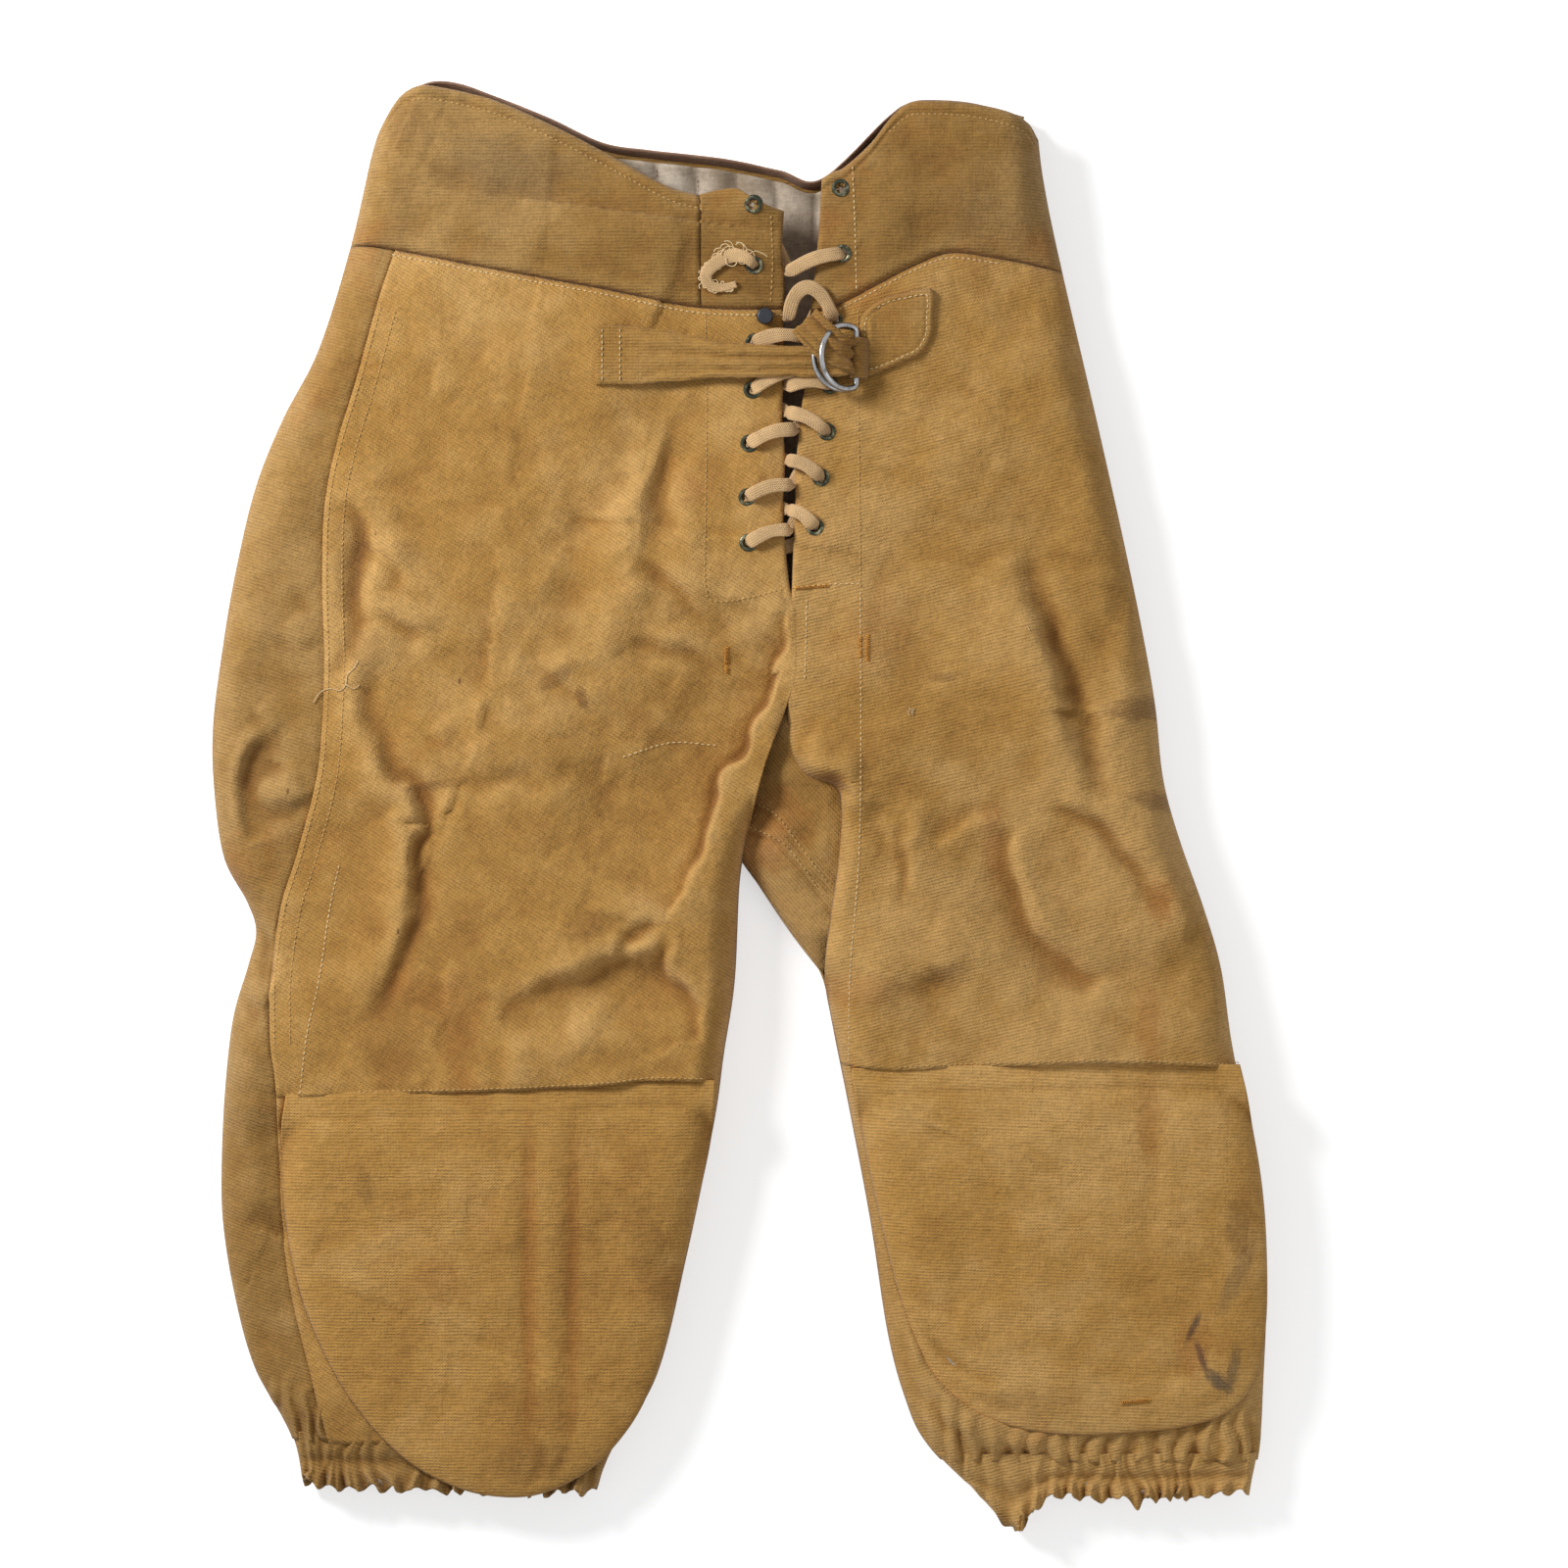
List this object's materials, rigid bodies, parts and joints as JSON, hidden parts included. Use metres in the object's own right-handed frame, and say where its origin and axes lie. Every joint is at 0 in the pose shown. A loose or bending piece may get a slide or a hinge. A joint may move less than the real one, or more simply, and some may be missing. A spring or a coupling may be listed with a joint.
{
  "type": "laced sports breeches",
  "caption": "Knee-length padded canvas breeches with a high waist, laced fly, strap and double-ring buckle, stitched knee pockets and elastic cuffs, lying flat",
  "frame": {"origin": "middle of the bottom of the garment's bounding box, on the surface that it lies on", "axes": "+X to the wearer's left, +Y up the garment to the waist, +Z out of the front of the garment as it lies"},
  "size_m": [0.5371, 0.7353, 0.0541],
  "materials": {
    "canvas": "worn tan cotton duck with a visible weave, faded along folds",
    "lining": "greyed cotton sateen lining",
    "felt": "pressed wool felt and batting",
    "binding": "brown bias binding",
    "lace": "flat woven cotton lace",
    "elastic": "covered elastic band",
    "tack_thread": "dense orange thread stitches",
    "eyelet_brass": "aged dark brass",
    "snap_black": "black enamelled snap cap",
    "ring_steel": "bright nickelled steel wire"
  },
  "bodies": {
    "garment": {"front_leg_right": "canvas", "front_leg_left": "canvas", "back_leg_right": "canvas", "back_leg_left": "canvas", "crotch_gusset": "canvas", "waist_front_right": "canvas", "fly_tab": "canvas", "waist_front_left": "canvas", "waist_back": "canvas", "fly_facing_right": "canvas", "fly_facing_left": "canvas", "waist_strap": "canvas", "strap_tab": "canvas", "knee_panel_right": "canvas", "knee_panel_left": "canvas", "cuff_right": "canvas", "cuff_left": "canvas", "seat_lining": "lining", "hip_lining_right": "lining", "hip_lining_left": "lining", "thigh_pocket_right": "lining", "thigh_pocket_left": "lining", "knee_lining_right": "lining", "knee_lining_left": "lining", "outseam_fell_right": "lining", "seat_batting": "felt", "hip_pad_right": "felt", "hip_pad_left": "felt", "knee_pad_right": "felt", "knee_pad_left": "felt", "back_binding": "binding", "eyelets_right": "eyelet_brass", "eyelets_left": "eyelet_brass", "snap_cap": "snap_black", "snap_socket": "eyelet_brass", "lace": "lace", "lace_tail": "lace", "cuff_elastic_right": "elastic", "cuff_elastic_left": "elastic", "bar_tacks": "tack_thread"},
    "ring_front": {"ring_front": "ring_steel"},
    "ring_back": {"ring_back": "ring_steel"}
  },
  "joints": [
    {"name": "ring_front_swing", "type": "hinge", "parent": "garment", "child": "ring_front", "pos_m": [0.0588, 0.226, 0.0351], "axis": [0, 1, 0], "range_deg": [0, 5]},
    {"name": "ring_back_swing", "type": "hinge", "parent": "garment", "child": "ring_back", "pos_m": [0.0588, 0.226, 0.0384], "axis": [0, 1, 0], "range_deg": [0, 75]}
  ]
}
